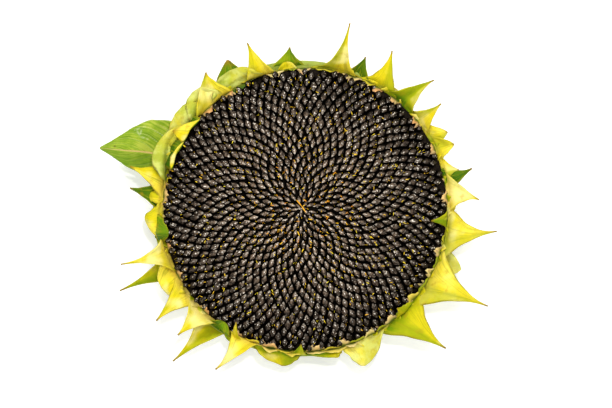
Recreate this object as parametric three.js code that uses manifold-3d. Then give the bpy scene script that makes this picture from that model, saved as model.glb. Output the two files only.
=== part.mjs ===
// Ripe sunflower seed head, cut with a short stalk and lying face up on its cut end.
// Millimetres, +Z up. The cut end of the stalk lies at z = 0, centred on the origin.
import * as THREE from 'three';
import { mergeVertices } from 'three/addons/utils/BufferGeometryUtils.js';
import Module from 'manifold-3d';

const wasm = await Module();
wasm.setup();

const DEGREE = Math.PI / 180;

// Seeds: one golden-angle spiral, counted from the middle, slightly wider spaced towards the rim.
const SEED_COUNT = 1020;
const SEED_FIELD_RADIUS = 87.3;
const SPIRAL_POWER = 0.543;
const GOLDEN_ANGLE = 137.508 * DEGREE;
const GHOST_SEEDS = 170;
const NEIGHBOUR_RANGE = 13;
const CELL_REACH = 9;
const SEED_GROOVE = 2.4;

// Face of the seed field: a very shallow dome whose last rows roll down to the rim.
const FACE_RADIUS = 90;
const FACE_HEIGHT = 46;
const DOME_FALL = 1.5;
const RIM_FALL = 9;
const RIM_FALL_POWER = 9;
const SEED_FLOOR = 28.8;

// Receptacle: radius and height from the middle of the back, round the rim, to the seed floor.
const RECEPTACLE_PROFILE = [
  [0, 12.3], [24, 12.3], [40, 14.6], [60, 18], [78, 22], [88, 25], [94, 27.6],
  [95.5, 29.6], [95, 31.6], [93.4, 32.5], [91.5, 32.3], [91.5, 28.5], [0, 28.5],
];
const RECEPTACLE_SIDES = 48;

// Stalk: radius and height from the cut end up to the back of the receptacle.
const STALK_PROFILE = [[0, 0], [17.5, 0], [18.2, 3], [19, 8], [21.5, 12], [0, 12]];
const STALK_SIDES = 24;

// Bracts: how each kind leaves the rim (root radius and height), the elevation that it starts and
// ends with, how early it bends, and how fast it narrows to its tip. Each ends a little higher or
// lower than its kind, by up to the sway.
const BRACT_THICKNESS = 1.1;
const BRACT_ROWS = 6;
const BRACT_COLUMNS = 2;
const BRACT_TIP_WIDTH = 1.4;
const BRACT_CUP = 0.16;
const BRACT_SKEW_POWER = 1.4;
const BRACT_SWAY = 11;
const PATH_STEPS = 60;
const BRACT_KINDS = {
  inner: { root: 92.8, height: 30.4, start: 54, end: 2, bend: 2.8, taper: 1.9 },
  upright: { root: 92.8, height: 30.4, start: 80, end: 0, bend: 3.2, taper: 1.9 },
  slender: { root: 92.8, height: 30.4, start: 76, end: 0, bend: 3.2, taper: 2.4 },
  outer: { root: 80, height: 23.5, start: 14, end: 16, bend: 1.5, taper: 1.5 },
  blunt: { root: 92.9, height: 30.4, start: 62, end: -70, bend: 1.2, taper: 0.7 },
  back: { root: 82, height: 24.1, start: 15, end: -8, bend: 0.6, taper: 0.5 },
  droop: { root: 93.4, height: 29.4, start: -22, end: -72, bend: 1, taper: 1.2 },
  inward: { root: 93.3, height: 30.4, start: 93, end: 155, bend: 1, taper: 1.2 },
};

// Each bract: angle of its base, base width, angle of its tip, radius that it reaches, kind.
const BRACTS = [
  [66.7, 12, 67.3, 105, 'outer'],
  [95.3, 32, 94, 103, 'outer'],
  [120.3, 27, 116.3, 105.5, 'outer'],
  [133.6, 26, 133, 101.4, 'back'],
  [142, 20, 142, 100.4, 'back'],
  [155.3, 31, 155, 100.5, 'back'],
  [174, 13, 173.3, 109.2, 'outer'],
  [205, 18, 204.3, 126.4, 'outer'],
  [233.8, 24, 229.8, 126.5, 'outer'],
  [261.5, 26, 264, 101, 'droop'],
  [277.2, 27, 283, 100, 'droop'],
  [339, 27, 339.5, 107.5, 'outer'],
  [11, 16, 13.4, 112, 'outer'],
  [24, 22, 25, 100, 'outer'],
  [41, 22, 40, 104, 'outer'],
  [53, 20, 52, 99, 'outer'],
  [83, 22, 82, 99, 'outer'],
  [107, 20, 107, 102, 'outer'],
  [188, 22, 187, 98, 'outer'],
  [219, 20, 218, 106, 'outer'],
  [247, 20, 245, 105, 'outer'],
  [298, 24, 297, 102, 'outer'],
  [316, 24, 316, 112, 'outer'],
  [353, 24, 353, 110, 'outer'],
  [76, 29, 75.4, 121.2, 'slender'],
  [57.5, 24, 60, 115.5, 'inner'],
  [46, 22, 44, 117.3, 'inner'],
  [36.4, 18, 36.8, 110.8, 'inner'],
  [26, 23, 23, 106, 'blunt'],
  [15.6, 17, 14.4, 103.6, 'inner'],
  [6.5, 25, 2.8, 113.7, 'inner'],
  [351.5, 34, 353.5, 124.8, 'inner'],
  [330.5, 32, 332.4, 133.8, 'inner'],
  [313.6, 33, 316, 127.8, 'inner'],
  [295.3, 28, 292.6, 107.5, 'blunt'],
  [246, 19, 242, 115.5, 'upright'],
  [226.5, 22, 225.6, 111.6, 'inner'],
  [216.7, 15, 218, 116, 'inner'],
  [207.8, 19, 210.2, 99.7, 'upright'],
  [198.6, 24, 196.8, 119.3, 'upright'],
  [185.3, 24, 185, 99.6, 'blunt'],
  [175, 12, 175.7, 98, 'blunt'],
  [165.6, 21, 166, 111.1, 'inner'],
  [157, 18, 159, 96, 'blunt'],
  [144.4, 17, 148.8, 97, 'upright'],
  [130, 29, 125, 105.8, 'upright'],
  [116.7, 18, 113.4, 99.5, 'blunt'],
  [107, 21, 108, 110.7, 'upright'],
  [188, 18, 190, 85.5, 'inward'],
  [235.4, 17, 236.2, 86.5, 'inward'],
  [243.6, 10, 240.4, 83, 'inward'],
  [268.7, 14, 270, 86.5, 'inward'],
  [355.8, 18, 354.6, 83, 'inward'],
  [316, 18, 314, 88, 'inward'],
];

// Leaf: petiole and midrib from the stalk outwards as [radius, angle, height], then the half widths
// of its two sides along the blade, from the foot of the blade at 0 to its tip at 1.
const LEAF_THICKNESS = 0.9;
const LEAF_MIDRIB = [
  [20.3, 161, 6], [40, 160.6, 8], [60, 160.4, 10.6], [82, 159.8, 15],
  [101, 159.6, 19.5], [118, 161.6, 22.5], [134, 163.1, 24],
];
const LEAF_BLADE_START = 0.27;
const LEAF_OUTLINE = [
  [0, 0.1], [0.1, 0.52], [0.28, 0.92], [0.44, 1], [0.6, 0.86], [0.76, 0.56], [0.9, 0.23], [1, 0.03],
];
const LEAF_WIDTH_ABOVE = 25;
const LEAF_WIDTH_BELOW = 16;
const LEAF_RISE_ABOVE = 0.06;
const LEAF_FALL_BELOW = 0.25;
const LEAF_TOOTH_DEPTH = 0.05;
const LEAF_TOOTH_STEPS = 3;
const LEAF_ROWS = 24;
const LEAF_COLUMNS = 6;
const PETIOLE_RADIUS = 2.3;
const PETIOLE_TIP_RADIUS = 0.8;
const PETIOLE_SIDES = 8;
const PETIOLE_STEPS = 16;
const PETIOLE_END = 0.8;
const PETIOLE_DROP = 0.9;

// A node's material in plain colour, roughness and no metal.
function skin(color, roughness) {
  return new THREE.MeshStandardMaterial({ color, roughness, metalness: 0 });
}

// A closed body from a list of points and a flat list of triangle corners.
function bodyOf(points, corners) {
  const geometry = new THREE.BufferGeometry();
  const positions = new Float32Array(points.flatMap((p) => [p.x, p.y, p.z]));
  geometry.setAttribute('position', new THREE.BufferAttribute(positions, 3));
  geometry.setIndex(corners);
  return geometry;
}

// The same body with its seam points joined and its empty triangles left out.
function joined(geometry) {
  const bare = geometry.clone();
  bare.deleteAttribute('normal');
  bare.deleteAttribute('uv');
  const merged = mergeVertices(bare, 1e-4);
  const index = merged.index.array;
  const corners = [];
  for (let i = 0; i < index.length; i += 3) {
    const [a, b, c] = [index[i], index[i + 1], index[i + 2]];
    if (a !== b && b !== c && c !== a) corners.push(a, b, c);
  }
  merged.setIndex(corners);
  return merged;
}

function solidOf(geometry) {
  const merged = joined(geometry);
  return new wasm.Manifold(new wasm.Mesh({
    numProp: 3,
    vertProperties: new Float32Array(merged.attributes.position.array),
    triVerts: new Uint32Array(merged.index.array),
  }));
}

function geometryOf(solid) {
  const mesh = solid.getMesh();
  const geometry = new THREE.BufferGeometry();
  geometry.setAttribute('position', new THREE.BufferAttribute(mesh.vertProperties, 3));
  geometry.setIndex(Array.from(mesh.triVerts));
  return geometry;
}

function node(name, geometry, color, roughness) {
  geometry.computeVertexNormals();
  const mesh = new THREE.Mesh(geometry, skin(color, roughness));
  mesh.name = name;
  return mesh;
}

function turned(profile, sides) {
  const points = profile.map(([radius, height]) => new THREE.Vector2(radius, height));
  const geometry = new THREE.LatheGeometry(points, sides);
  geometry.rotateX(Math.PI / 2);
  return geometry;
}

// A blade between two grids of points, upper and lower, split alike on both faces.
function blade(upper, lower) {
  const rows = upper.length - 1;
  const columns = upper[0].length - 1;
  const points = [...upper.flat(), ...lower.flat()];
  const corners = [];
  const top = (i, j) => i * (columns + 1) + j;
  const under = (i, j) => top(i, j) + (rows + 1) * (columns + 1);
  const wall = (i, j, k, l) => {
    corners.push(top(k, l), top(i, j), under(i, j), top(k, l), under(i, j), under(k, l));
  };
  for (let i = 0; i < rows; i += 1) {
    for (let j = 0; j < columns; j += 1) {
      corners.push(top(i, j), top(i + 1, j), top(i + 1, j + 1));
      corners.push(top(i, j), top(i + 1, j + 1), top(i, j + 1));
      corners.push(under(i, j), under(i + 1, j + 1), under(i + 1, j));
      corners.push(under(i, j), under(i, j + 1), under(i + 1, j + 1));
    }
  }
  for (let i = 0; i < rows; i += 1) {
    wall(i, 0, i + 1, 0);
    wall(i + 1, columns, i, columns);
  }
  for (let j = 0; j < columns; j += 1) {
    wall(0, j + 1, 0, j);
    wall(rows, j, rows, j + 1);
  }
  return bodyOf(points, corners);
}

// Seed field

function faceHeight(radius) {
  const share = radius / FACE_RADIUS;
  return FACE_HEIGHT - DOME_FALL * share ** 2 - RIM_FALL * share ** RIM_FALL_POWER;
}

function seedPoint(n) {
  const radius = SEED_FIELD_RADIUS * ((n + 0.5) / SEED_COUNT) ** SPIRAL_POWER;
  const angle = n * GOLDEN_ANGLE;
  return new THREE.Vector2(radius * Math.cos(angle), radius * Math.sin(angle));
}

// The part of a cell's outline that is nearer to its own seed than to the other one.
function nearerPart(outline, own, other) {
  const away = other.clone().sub(own);
  const middle = own.clone().add(other).multiplyScalar(0.5);
  const side = (p) => p.clone().sub(middle).dot(away);
  const kept = [];
  outline.forEach((p, i) => {
    const q = outline[(i + 1) % outline.length];
    const sideP = side(p);
    const sideQ = side(q);
    if (sideP <= 0) kept.push(p);
    if (sideP * sideQ < 0) kept.push(p.clone().lerp(q, sideP / (sideP - sideQ)));
  });
  return kept;
}

function seedCell(own, seeds) {
  let outline = [[-1, -1], [1, -1], [1, 1], [-1, 1]].map(([x, y]) => (
    new THREE.Vector2(own.x + x * CELL_REACH, own.y + y * CELL_REACH)
  ));
  for (const other of seeds) {
    const distance = own.distanceTo(other);
    if (distance > 0 && distance < NEIGHBOUR_RANGE) outline = nearerPart(outline, own, other);
  }
  return outline;
}

// Every seed is a low pyramid over its own cell; the cells' corners lie in the grooves.
function seedField() {
  const seeds = [];
  for (let n = 0; n < SEED_COUNT + GHOST_SEEDS; n += 1) seeds.push(seedPoint(n));
  const points = [];
  const corners = [];
  const indexByPlace = new Map();
  const grooveIndex = (p) => {
    const place = `${Math.round(p.x * 100)},${Math.round(p.y * 100)}`;
    if (!indexByPlace.has(place)) {
      indexByPlace.set(place, points.length);
      points.push(new THREE.Vector3(p.x, p.y, faceHeight(p.length()) - SEED_GROOVE));
    }
    return indexByPlace.get(place);
  };
  for (const own of seeds.slice(0, SEED_COUNT)) {
    const outline = seedCell(own, seeds).map(grooveIndex);
    const apex = points.length;
    points.push(new THREE.Vector3(own.x, own.y, faceHeight(own.length())));
    outline.forEach((a, i) => {
      const b = outline[(i + 1) % outline.length];
      if (a !== b) corners.push(a, b, apex);
    });
  }
  closeBelow(points, corners);
  return bodyOf(points, corners);
}

// Drops a wall from the open edge of an upward face and closes it with a flat floor.
function closeBelow(points, corners) {
  const edges = new Set();
  for (let i = 0; i < corners.length; i += 3) {
    for (let k = 0; k < 3; k += 1) edges.add(`${corners[i + k]},${corners[i + (k + 1) % 3]}`);
  }
  const floorIndex = new Map();
  const below = (a) => {
    if (!floorIndex.has(a)) {
      floorIndex.set(a, points.length);
      points.push(new THREE.Vector3(points[a].x, points[a].y, SEED_FLOOR));
    }
    return floorIndex.get(a);
  };
  const middle = points.length;
  points.push(new THREE.Vector3(0, 0, SEED_FLOOR));
  for (const edge of edges) {
    const [a, b] = edge.split(',').map(Number);
    if (!edges.has(`${b},${a}`)) {
      corners.push(below(a), below(b), b, below(a), b, a, below(b), below(a), middle);
    }
  }
}

// Bracts

// Radius, height and elevation along a bract, scaled so that it reaches its radius.
function bractPath(kind, reach, sway) {
  const path = [{ out: 0, up: 0, slope: kind.start * DEGREE }];
  for (let i = 1; i <= PATH_STEPS; i += 1) {
    const share = 1 - (1 - i / PATH_STEPS) ** kind.bend;
    const slope = (kind.start + (kind.end + sway - kind.start) * share) * DEGREE;
    const last = path[i - 1];
    path.push({ out: last.out + Math.cos(slope), up: last.up + Math.sin(slope), slope });
  }
  const sign = Math.sign(reach - kind.root);
  const furthest = Math.max(...path.map((p) => sign * p.out));
  const scale = Math.abs(reach - kind.root) / furthest;
  return path.map((p) => ({
    radius: kind.root + p.out * scale,
    height: kind.height + p.up * scale,
    slope: p.slope,
  }));
}

function bract([baseAngle, width, tipAngle, reach, kindName], number) {
  const kind = BRACT_KINDS[kindName];
  const path = bractPath(kind, reach, BRACT_SWAY * Math.sin(number * GOLDEN_ANGLE));
  const upper = [];
  const lower = [];
  for (let i = 0; i <= BRACT_ROWS; i += 1) {
    const along = i / BRACT_ROWS;
    const { radius, height, slope } = path[Math.round(along * PATH_STEPS)];
    const angle = baseAngle + (tipAngle - baseAngle) * along ** BRACT_SKEW_POWER;
    const halfWidth = (BRACT_TIP_WIDTH + (width - BRACT_TIP_WIDTH) * (1 - along) ** kind.taper) / 2;
    const cup = BRACT_CUP * Math.sin(Math.PI * along);
    const rowOf = (side) => Array.from({ length: BRACT_COLUMNS + 1 }, (_, j) => {
      const across = (2 * j) / BRACT_COLUMNS - 1;
      const lift = cup * halfWidth * across ** 2 + side * BRACT_THICKNESS / 2;
      const r = radius - Math.sin(slope) * lift;
      const turn = angle * DEGREE + across * halfWidth / radius;
      return new THREE.Vector3(
        r * Math.cos(turn), r * Math.sin(turn), height + Math.cos(slope) * lift,
      );
    });
    upper.push(rowOf(1));
    lower.push(rowOf(-1));
  }
  return blade(upper, lower);
}

function receptacle() {
  let body = solidOf(turned(RECEPTACLE_PROFILE, RECEPTACLE_SIDES));
  BRACTS.forEach((entry, number) => {
    body = body.add(solidOf(bract(entry, number)));
  });
  return geometryOf(body);
}

// Leaf

function leafMidrib() {
  return new THREE.CatmullRomCurve3(LEAF_MIDRIB.map(([radius, angle, height]) => (
    new THREE.Vector3(
      radius * Math.cos(angle * DEGREE), radius * Math.sin(angle * DEGREE), height,
    )
  )));
}

function leafHalfWidth(along) {
  let k = 1;
  while (k < LEAF_OUTLINE.length - 1 && LEAF_OUTLINE[k][0] < along) k += 1;
  const [from, widthFrom] = LEAF_OUTLINE[k - 1];
  const [to, widthTo] = LEAF_OUTLINE[k];
  return widthFrom + (widthTo - widthFrom) * (along - from) / (to - from);
}

function leafBlade(midrib) {
  const upper = [];
  const lower = [];
  for (let i = 0; i <= LEAF_ROWS; i += 1) {
    const along = i / LEAF_ROWS;
    const at = LEAF_BLADE_START + (1 - LEAF_BLADE_START) * along;
    const rib = midrib.getPoint(at);
    const forward = midrib.getTangent(at).setZ(0).normalize();
    const tooth = i % LEAF_TOOTH_STEPS === 0 ? 0 : LEAF_TOOTH_DEPTH * (i % LEAF_TOOTH_STEPS);
    const share = leafHalfWidth(along) * (1 - tooth);
    const rowOf = (side) => Array.from({ length: LEAF_COLUMNS + 1 }, (_, j) => {
      const across = (2 * j) / LEAF_COLUMNS - 1;
      const width = across < 0 ? LEAF_WIDTH_ABOVE : LEAF_WIDTH_BELOW;
      const offset = across * width * share;
      const rise = across < 0 ? -LEAF_RISE_ABOVE * offset : -LEAF_FALL_BELOW * offset;
      return new THREE.Vector3(
        rib.x - forward.y * offset,
        rib.y + forward.x * offset,
        rib.z + rise + side * LEAF_THICKNESS / 2,
      );
    });
    upper.push(rowOf(1));
    lower.push(rowOf(-1));
  }
  return blade(upper, lower);
}

// The stalk of the leaf, round at the stem and thinning along the underside of the blade.
function petiole(midrib) {
  const points = [];
  const corners = [];
  for (let i = 0; i <= PETIOLE_STEPS; i += 1) {
    const along = i / PETIOLE_STEPS;
    const at = along * PETIOLE_END;
    const rib = midrib.getPoint(at);
    const forward = midrib.getTangent(at).setZ(0).normalize();
    const radius = PETIOLE_RADIUS + (PETIOLE_TIP_RADIUS - PETIOLE_RADIUS) * along;
    for (let k = 0; k < PETIOLE_SIDES; k += 1) {
      const turn = (k + 0.5) * 2 * Math.PI / PETIOLE_SIDES;
      points.push(new THREE.Vector3(
        rib.x - forward.y * radius * Math.cos(turn),
        rib.y + forward.x * radius * Math.cos(turn),
        rib.z - PETIOLE_DROP + radius * Math.sin(turn),
      ));
    }
  }
  const ring = (i, k) => i * PETIOLE_SIDES + (k % PETIOLE_SIDES);
  for (let k = 0; k < PETIOLE_SIDES; k += 1) {
    for (let i = 0; i < PETIOLE_STEPS; i += 1) {
      corners.push(ring(i, k), ring(i + 1, k + 1), ring(i + 1, k));
      corners.push(ring(i, k), ring(i, k + 1), ring(i + 1, k + 1));
    }
  }
  for (let k = 1; k < PETIOLE_SIDES - 1; k += 1) {
    corners.push(ring(0, 0), ring(0, k + 1), ring(0, k));
    corners.push(ring(PETIOLE_STEPS, 0), ring(PETIOLE_STEPS, k), ring(PETIOLE_STEPS, k + 1));
  }
  return bodyOf(points, corners);
}

function leaf() {
  const midrib = leafMidrib();
  return geometryOf(solidOf(leafBlade(midrib)).add(solidOf(petiole(midrib))));
}

const head = new THREE.Group();
head.name = 'sunflower_seed_head';
head.add(node('stalk', joined(turned(STALK_PROFILE, STALK_SIDES)), 0xa9b45a, 0.7));
head.add(node('receptacle', receptacle(), 0xc9c03c, 0.65));
head.add(node('seed_disc', seedField(), 0x2e2823, 0.5));
head.add(node('leaf', leaf(), 0x86a832, 0.6));

export default head;
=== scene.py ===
"""Looks of a ripe sunflower seed head that lies face up on the cut end of its stalk."""

import math
import random

import bpy
import numpy as np
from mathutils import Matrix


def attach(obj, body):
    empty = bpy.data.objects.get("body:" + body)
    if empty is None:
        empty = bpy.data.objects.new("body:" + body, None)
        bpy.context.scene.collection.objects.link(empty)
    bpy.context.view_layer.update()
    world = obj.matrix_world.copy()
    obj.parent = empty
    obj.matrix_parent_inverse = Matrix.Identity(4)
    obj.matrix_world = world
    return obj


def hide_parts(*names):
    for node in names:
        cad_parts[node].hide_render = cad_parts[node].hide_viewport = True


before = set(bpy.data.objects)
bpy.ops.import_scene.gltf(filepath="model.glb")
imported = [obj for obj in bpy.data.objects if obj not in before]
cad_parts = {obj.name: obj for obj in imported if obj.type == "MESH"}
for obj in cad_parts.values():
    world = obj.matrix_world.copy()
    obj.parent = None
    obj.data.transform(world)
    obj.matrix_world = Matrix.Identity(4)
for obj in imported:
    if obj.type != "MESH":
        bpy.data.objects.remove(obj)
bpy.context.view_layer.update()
draw = random.Random(34)

MM = 0.001
GOLDEN = math.radians(137.508)
FULL_TURN = 2 * math.pi
UP = np.array([0.0, 0.0, 1.0])

# Seed field, as in the solid model, in millimetres.
SEED_COUNT = 1020
FIELD_RADIUS = 87.3
SPIRAL_POWER = 0.543
FACE_RADIUS = 90
FACE_HEIGHT = 46
DOME_FALL = 1.5
RIM_FALL = 9
RIM_POWER = 9

# The ring of bracts lies a little off the middle of the seed spirals and is slightly oval.
RING_MEAN = -0.5
RING_SHIFT = 2.8
RING_TURN = math.radians(-20)
RING_OVAL = 0.7
OVAL_TURN = math.radians(31)

# Receptacle and stalk, radius and height.
RECEPTACLE_PROFILE = [
    (0, 12.3), (24, 12.3), (40, 14.6), (60, 18), (78, 22), (88, 25), (93, 27),
    (94.5, 28.2), (94, 29), (92, 29), (90.6, 28.5), (0, 28.5),
]
STALK_PROFILE = [(17.5, 0), (18.2, 3), (19, 8), (21.5, 12.2)]

# Bract kinds: root radius and height, first and last elevation, bend, taper.
KINDS = {
    "inner": (92.8, 30.4, 54, 2, 2.8, 1.65),
    "upright": (91.2, 31.4, 80, 0, 3.2, 1.65),
    "slender": (92.8, 30.4, 76, 0, 3.2, 2.4),
    "outer": (76, 21.7, 8, 22, 1, 1.2),
    "blunt": (92.9, 30.4, 62, -70, 1.2, 0.7),
    "broad": (92.8, 30.4, 50, -8, 1.4, 0.4),
    "fan": (92.8, 30.4, 54, -16, 1.3, 0.38),
    "middle": (91.2, 28.2, 30, 10, 1.6, 1.5),
    "over": (91, 31.5, 62, 0, 2.6, 1.25),
    "spike": (92.8, 30.4, 54, 2, 2.8, 2),
    "wedge": (80, 22.6, 8, 24, 1, 0.85),
    "under": (80, 22.6, 10, 24, 1, 0.7),
    "lobe": (92.8, 30.4, 52, -22, 1.3, 0.68),
    "corner": (92.8, 30.4, 52, -12, 1.3, 0.9),
    "spread": (76, 21.7, 8, 22, 1, 1.9),
    "back": (70, 19.5, 4, 20, 1, 0.6),
    "scale": (54, 16.5, 3, 15, 1, 0.6),
    "droop": (93.4, 29.4, -4, -34, 1, 0.8),
    "inward": (93.3, 30.4, 93, 155, 1, 1.2),
    "lens": (93.3, 30.4, 93, 155, 1, 0.5),
    "collar": (90.7, 28.6, 48, 5, 1.2, 0.5),
}
# Bracts: angle and width of the base, angle and radius of the tip, kind, share of green.
BRACTS = [
    (66.7, 20, 66.9, 105, "middle", 1), (95.3, 25, 94, 103, "middle", 0.7),
    (121.4, 42, 116.4, 106, "wedge", 0.75), (133.6, 32, 133, 101.4, "broad", 0.3),
    (143, 42, 143, 100.4, "broad", 0.34), (156.5, 44, 156, 100.7, "broad", 0.3),
    (174.6, 20, 173.2, 109.6, "middle", 0.9), (204.4, 38, 204.4, 127, "spread", 0.38),
    (232.8, 50, 230, 126.8, "spread", 0.26), (261, 32, 263, 101.3, "droop", 0.32),
    (278, 30, 283, 97.8, "droop", 0.35), (338.8, 38, 339.2, 109, "under", 0.1),
    (10.5, 23, 13.2, 112, "middle", 0.9), (24, 22, 25, 100, "outer", 0.9),
    (41, 22, 40, 94, "outer", 0.9), (53, 20, 52, 95, "outer", 0.9), (83, 22, 82, 94, "outer", 0.3),
    (107, 20, 107, 96, "outer", 0.8), (188, 22, 187, 98, "outer", 0.8),
    (219, 20, 218, 106, "outer", 0.7), (247, 20, 245, 105, "outer", 0.7),
    (298, 24, 297, 102, "outer", 0.8), (316, 24, 316, 112, "outer", 0.8),
    (353, 24, 353, 110, "outer", 0.8), (74.8, 29, 75.2, 121.6, "slender", 0.14),
    (56.6, 24, 60, 116, "inner", 0.18), (47, 24, 44, 117.6, "inner", 0.36),
    (36, 21, 36.8, 111.2, "inner", 0.15), (29.4, 19, 27.6, 105.4, "corner", 0.2),
    (24.4, 20, 22.8, 105.8, "corner", 0.12), (15.2, 17, 13.8, 103.6, "inner", 0.12),
    (6.5, 29, 2.8, 113.7, "inner", 0.05), (350.2, 38, 353.4, 125.2, "spike", 0.15),
    (331, 46, 332.4, 134, "spike", 0.12), (313.4, 38, 316, 128, "inner", 0.25),
    (296, 35, 292.2, 108.2, "lobe", 0.08), (246.6, 24, 242, 116, "upright", 0),
    (226.2, 29, 225.8, 112.2, "inner", 0.03), (216, 25, 217.8, 116.5, "inner", 0.03),
    (207.5, 29, 209.8, 102.4, "fan", 0), (199, 32, 197.2, 119.6, "slender", 0),
    (185.3, 24, 185, 99.6, "blunt", 0.1), (175, 12, 175.7, 98, "blunt", 0.05),
    (167.8, 28, 166.2, 111.8, "inner", 0.05), (130.5, 38, 125, 105.8, "over", 0.1),
    (117.6, 42, 117.6, 99, "broad", 0.32), (107, 25, 108, 110.7, "upright", 0.1),
    (188, 20, 190, 85.2, "lens", 0.75), (235.6, 20, 235.8, 87, "lens", 0.7),
    (243.6, 10, 240.4, 83, "inward", 0.05), (268.7, 14, 270, 86.5, "inward", 0.5),
    (355.8, 13, 354.6, 83, "inward", 0.45), (316, 18, 314, 88, "inward", 0.3),
]
BRACT_SWAY = 11
BRACT_CUP = 0.16
BRACT_TIP_WIDTH = 1
BRACT_THICKNESS = 0.9
BRACT_ROWS = 18
BRACT_COLUMNS = 10
PATH_STEPS = 72

# Leaf, as in the solid model.
LEAF_MIDRIB = [
    (20.3, 161, 6), (40, 160.6, 8), (60, 160.4, 10.6), (82, 159.8, 15),
    (101, 159.6, 19.5), (118, 161.7, 22.5), (134.4, 163.3, 24),
]
LEAF_START = 0.27
LEAF_OUTLINE = [
    (0, 0.1), (0.1, 0.52), (0.28, 0.92), (0.44, 1), (0.6, 0.86), (0.76, 0.56), (0.9, 0.23), (1, 0.03),
]
LEAF_ABOVE = 24.6
LEAF_BELOW = 18.2
LEAF_RISE = 0.06
LEAF_FALL = 0.25
LEAF_THICKNESS = 0.7


def rgb(red, green, blue):
    return (red, green, blue, 1.0)


class Value:
    """The result of a node, which can be reckoned with."""

    def __init__(self, paint, socket):
        self.paint = paint
        self.socket = socket

    def math(self, operation, other=0):
        return self.paint.node("Math", {0: self, 1: other}, 0, operation=operation)

    def __add__(self, other):
        return self.math("ADD", other)

    def __sub__(self, other):
        return self.math("SUBTRACT", other)

    def __mul__(self, other):
        return self.math("MULTIPLY", other)

    def __abs__(self):
        return self.math("ABSOLUTE")

    def fade(self, low, high, top=1, bottom=0):
        """A smooth way from bottom to top while the value goes from low to high."""
        sockets = {"Value": self, "From Min": low, "From Max": high, "To Min": bottom, "To Max": top}
        return self.paint.node("MapRange", sockets, "Result", interpolation_type="SMOOTHSTEP")


class Paint:
    """A node material around one principled shader, with colours laid over one another."""

    def __init__(self, name, roughness, specular):
        self.material = bpy.data.materials.new(name)
        self.material.use_nodes = True
        tree = self.material.node_tree
        self.nodes, self.links = tree.nodes, tree.links
        self.shader = next(n for n in self.nodes if n.type == "BSDF_PRINCIPLED").inputs
        self.set("Roughness", roughness)
        self.set("Specular IOR Level", specular)

    def put(self, socket, value):
        if isinstance(value, Value):
            self.links.new(value.socket, socket)
        else:
            socket.default_value = value

    def set(self, key, value):
        self.put(self.shader[key], value)

    def node(self, kind, sockets, result, **settings):
        """The result of a new node with these settings, and these values on its sockets."""
        made = self.nodes.new("ShaderNode" + kind)
        for key, setting in settings.items():
            setattr(made, key, setting)
        for key, value in sockets.items():
            self.put(made.inputs[key], value)
        return Value(self, made.outputs[result])

    def start(self, colour):
        """Take this as the base colour."""
        self.base = colour
        self.set("Base Color", colour)

    def cover(self, share, colour):
        """Lay a colour over the base colour, by a share."""
        self.start(self.mix(share, self.base, rgb(*colour)))

    def attributes(self, *names):
        return [self.node("Attribute", {}, "Fac", attribute_name=name) for name in names]

    def stretched(self, *parts):
        """A vector of values, each times its own number."""
        return self.node("CombineXYZ", {k: value * scale for k, (value, scale) in enumerate(parts)}, 0)

    def noise(self, scale, detail=3, vector=None, rough=0.55):
        place = vector or self.node("TexCoord", {}, "Object")
        sockets = {"Vector": place, "Scale": scale, "Detail": detail, "Roughness": rough}
        return self.node("TexNoise", sockets, "Fac")

    def ramp(self, value, *stops):
        step = self.nodes.new("ShaderNodeValToRGB")
        points = step.color_ramp.elements
        while len(points) < len(stops):
            points.new(0.5)
        for point, (position, *colour) in zip(points, stops):
            point.position = position
            point.color = rgb(*colour)
        self.put(step.inputs[0], value)
        return Value(self, step.outputs["Color"])

    def mix(self, share, first, second):
        return self.node("Mix", {"Factor": share, 6: first, 7: second}, 2, data_type="RGBA")

    def bump(self, height, distance, strength):
        sockets = {"Height": height, "Distance": distance, "Strength": strength}
        self.set("Normal", self.node("Bump", sockets, "Normal"))


class Loft:
    """Closed rings of points joined one after another, with values that go with each point."""

    def __init__(self):
        self.points = []
        self.faces = []
        self.values = {}

    def add(self, rings, **values):
        """rings holds rows of points; a value is one number, one for each row, or an array of rows."""
        rows, around = len(rings), len(rings[0])
        first = len(self.points)
        last = first + (rows - 1) * around
        self.points.extend(np.asarray(rings, float).reshape(-1, 3))
        for key, value in values.items():
            value = np.asarray(value, float)
            value = value[:, None] if value.ndim == 1 else value
            self.values.setdefault(key, []).extend(np.broadcast_to(value, (rows, around)).ravel())
        for a in range(first, last, around):
            for j in range(around):
                k = (j + 1) % around
                self.faces.append((a + j, a + k, a + around + k, a + around + j))
        self.faces.append(tuple(first + j for j in reversed(range(around))))
        self.faces.append(tuple(last + j for j in range(around)))

    def flip(self):
        self.faces = [face[::-1] for face in self.faces]

    def piece(self, name, paint, slot):
        """A mesh of the rings, from millimetres, that rides on the one body."""
        mesh = bpy.data.meshes.new(name)
        mesh.from_pydata((np.array(self.points) * MM).tolist(), [], self.faces)
        for key, values in self.values.items():
            layer = mesh.attributes.new(key, "FLOAT", "POINT")
            layer.data.foreach_set("value", np.asarray(values, np.float32))
        mesh.shade_smooth()
        mesh.materials.append(paint.material)
        made = bpy.data.objects.new(name, mesh)
        bpy.context.scene.collection.objects.link(made)
        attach(made, "root")
        return made


def outward(angle):
    """Level directions outwards and sideways at an angle."""
    cos, sin = math.cos(angle), math.sin(angle)
    return np.array([cos, sin, 0.0]), np.array([-sin, cos, 0.0])


def full_circle(sides):
    return np.linspace(0, FULL_TURN, sides, endpoint=False)


def around_axis(reach, turn, height):
    """Points at these radii, angles and heights."""
    return np.stack(np.broadcast_arrays(reach * np.cos(turn), reach * np.sin(turn), height), 1)


def blade_section(columns, thickness):
    """Places across a closed blade, their sides, and their distances from the middle sheet."""
    upper = np.linspace(-1, 1, columns + 1)
    across = np.concatenate([upper, upper[-2:0:-1]])
    side = np.concatenate([np.ones(columns + 1), -np.ones(columns - 1)])
    return across, side, np.sqrt(np.clip(1 - across**2, 0, 1)) * side * thickness / 2


def between(limits):
    return draw.uniform(*limits)


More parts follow.
